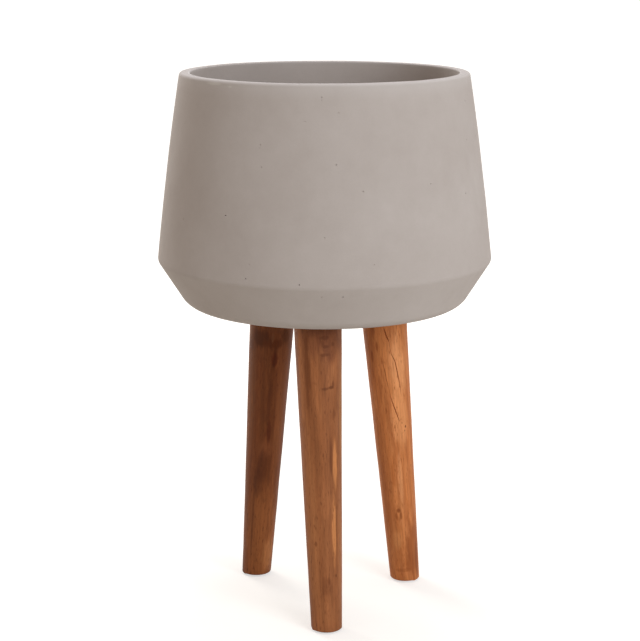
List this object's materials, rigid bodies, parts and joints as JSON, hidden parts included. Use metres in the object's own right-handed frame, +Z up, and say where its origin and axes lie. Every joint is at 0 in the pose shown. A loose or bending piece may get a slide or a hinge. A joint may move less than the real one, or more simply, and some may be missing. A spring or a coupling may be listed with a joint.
{
  "type": "floor planter",
  "caption": "Round cement planter bowl with an inward-leaning wall and shallow lower cone, on splayed tapered wooden legs that screw into its base.",
  "frame": {"origin": "on the floor, under the middle of the pot", "axes": "+Z up along the pot's axis, -Y towards the front leg and the picture's camera, +X to the camera's right"},
  "size_m": [0.38, 0.38, 0.62],
  "materials": {
    "cast_cement": "matte",
    "oiled_wood_front": "satin",
    "oiled_wood_right": "satin",
    "oiled_wood_left": "satin",
    "zinc_steel": "satin",
    "black_rubber": "matte",
    "grey_nylon": "matte"
  },
  "bodies": {
    "pot": {"pot_shell": "cast_cement", "leg_nut_front": "zinc_steel", "leg_nut_right": "zinc_steel", "leg_nut_left": "zinc_steel"},
    "washer_front": {"seat_washer_front": "black_rubber"},
    "leg_front": {"leg_front": "oiled_wood_front", "hanger_bolt_front": "zinc_steel", "foot_glide_front": "grey_nylon", "glide_nail_front": "zinc_steel"},
    "washer_right": {"seat_washer_right": "black_rubber"},
    "leg_right": {"leg_right": "oiled_wood_right", "hanger_bolt_right": "zinc_steel", "foot_glide_right": "grey_nylon", "glide_nail_right": "zinc_steel"},
    "washer_left": {"seat_washer_left": "black_rubber"},
    "leg_left": {"leg_left": "oiled_wood_left", "hanger_bolt_left": "zinc_steel", "foot_glide_left": "grey_nylon", "glide_nail_left": "zinc_steel"},
    "plug": {"drain_plug": "black_rubber"}
  },
  "joints": [
    {"name": "leg_drop_front", "type": "slide", "parent": "pot", "child": "washer_front", "axis": [0, 0, -1], "range_m": [0, 0.0151]},
    {"name": "leg_turn_front", "type": "hinge", "parent": "washer_front", "child": "leg_front", "pos_m": [-0.00789, -0.07383, 0.357], "axis": [0, 0, -1], "range_deg": [0, 3600]},
    {"name": "leg_drop_right", "type": "slide", "parent": "pot", "child": "washer_right", "axis": [0, 0, -1], "range_m": [0, 0.0151]},
    {"name": "leg_turn_right", "type": "hinge", "parent": "washer_right", "child": "leg_right", "pos_m": [0.06788, 0.03008, 0.357], "axis": [0, 0, -1], "range_deg": [0, 3600]},
    {"name": "leg_drop_left", "type": "slide", "parent": "pot", "child": "washer_left", "axis": [0, 0, -1], "range_m": [0, 0.0151]},
    {"name": "leg_turn_left", "type": "hinge", "parent": "washer_left", "child": "leg_left", "pos_m": [-0.05999, 0.04375, 0.357], "axis": [0, 0, -1], "range_deg": [0, 3600]},
    {"name": "plug_pull", "type": "slide", "parent": "pot", "child": "plug", "axis": [0, 0, -1], "range_m": [0, 0.03]}
  ],
  "couplings": [
    {"joint": "leg_drop_front", "follows": "leg_turn_front", "m_per_rad": 0.00023873},
    {"joint": "leg_drop_right", "follows": "leg_turn_right", "m_per_rad": 0.00023873},
    {"joint": "leg_drop_left", "follows": "leg_turn_left", "m_per_rad": 0.00023873}
  ]
}
